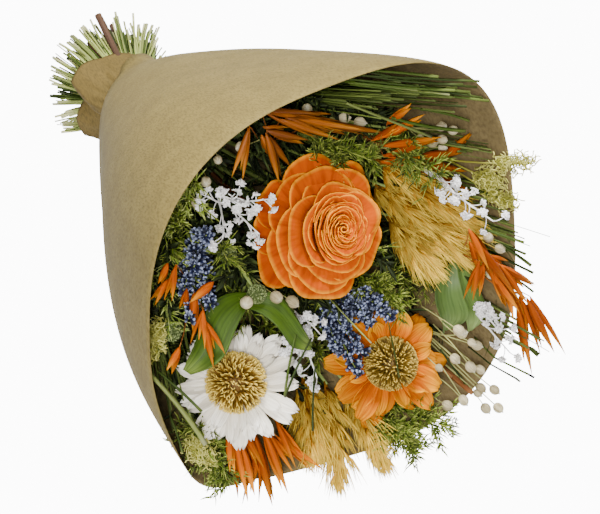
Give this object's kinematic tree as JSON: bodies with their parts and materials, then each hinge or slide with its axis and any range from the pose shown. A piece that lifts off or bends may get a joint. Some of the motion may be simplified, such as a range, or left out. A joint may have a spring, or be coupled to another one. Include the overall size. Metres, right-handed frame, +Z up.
{
  "type": "mixed flower bouquet",
  "caption": "Hand-tied bouquet of dried and cut flowers, seed heads and grasses, lying on its side in an open cone of brown kraft paper with a gathered neck and a fan of cut stems.",
  "frame": {"origin": "middle of the underside of the whole bouquet, on the surface that it lies on", "axes": "+Z up; the cut stems point to +Y and the open mouth of the paper to -Y, its axis rising towards the mouth; +X is to the right seen from the mouth's side"},
  "size_m": [0.295, 0.4356, 0.2728],
  "materials": {
    "kraft_paper": "matte",
    "jute_tie": "matte",
    "orange_rose_petals": "matte",
    "white_petals": "matte",
    "orange_petals": "matte",
    "seed_ball": "matte",
    "olive_seed_ball": "matte",
    "cut_grass": "matte",
    "golden_plume": "matte",
    "orange_oats": "matte",
    "white_sprig": "matte",
    "blue_spike": "matte",
    "ivory_pods": "matte",
    "green_buttons": "matte",
    "sage_leaves": "matte",
    "fern_green": "matte",
    "pale_moss": "matte",
    "brown_twig": "matte",
    "dark_stalk": "matte",
    "green_stem": "matte"
  },
  "bodies": {
    "root": {"paper_wrap": "kraft_paper", "tie_band": "jute_tie", "rose_petals": "orange_rose_petals", "white_daisy_petals": "white_petals", "orange_daisy_petals": "orange_petals", "white_daisy_ball": "seed_ball", "orange_daisy_ball": "olive_seed_ball", "grass_right": "cut_grass", "grass_top": "cut_grass", "grass_left": "cut_grass", "rose_stem": "green_stem", "white_daisy_stem": "green_stem", "orange_daisy_stem": "green_stem", "plume_upper_1": "golden_plume", "plume_upper_2": "golden_plume", "plume_upper_3": "golden_plume", "plume_lower_1": "golden_plume", "plume_lower_2": "golden_plume", "plume_lower_3": "golden_plume", "oats_right": "orange_oats", "oats_top": "orange_oats", "oats_upper_left": "orange_oats", "oats_bottom": "orange_oats", "oats_left": "orange_oats", "white_sprig_left": "white_sprig", "white_sprig_right": "white_sprig", "white_sprig_lower": "white_sprig", "white_sprig_middle": "white_sprig", "blue_spikes_left": "blue_spike", "blue_spikes_middle": "blue_spike", "blue_spikes_right": "blue_spike", "pods_left": "ivory_pods", "pods_upper": "ivory_pods", "pods_top": "ivory_pods", "pods_right": "ivory_pods", "pods_lower": "ivory_pods", "button_upper": "green_buttons", "button_middle": "green_buttons", "button_left": "green_buttons", "broad_leaves_left": "sage_leaves", "broad_leaves_right": "sage_leaves", "fern_left": "fern_green", "fern_top": "fern_green", "fern_right": "fern_green", "fern_middle": "fern_green", "fern_bottom": "fern_green", "fern_lower_left": "fern_green", "moss_right": "pale_moss", "moss_left": "pale_moss", "moss_lower": "pale_moss", "twig_right": "brown_twig", "twig_top": "brown_twig", "forked_stalk": "dark_stalk"}
  },
  "joints": []
}
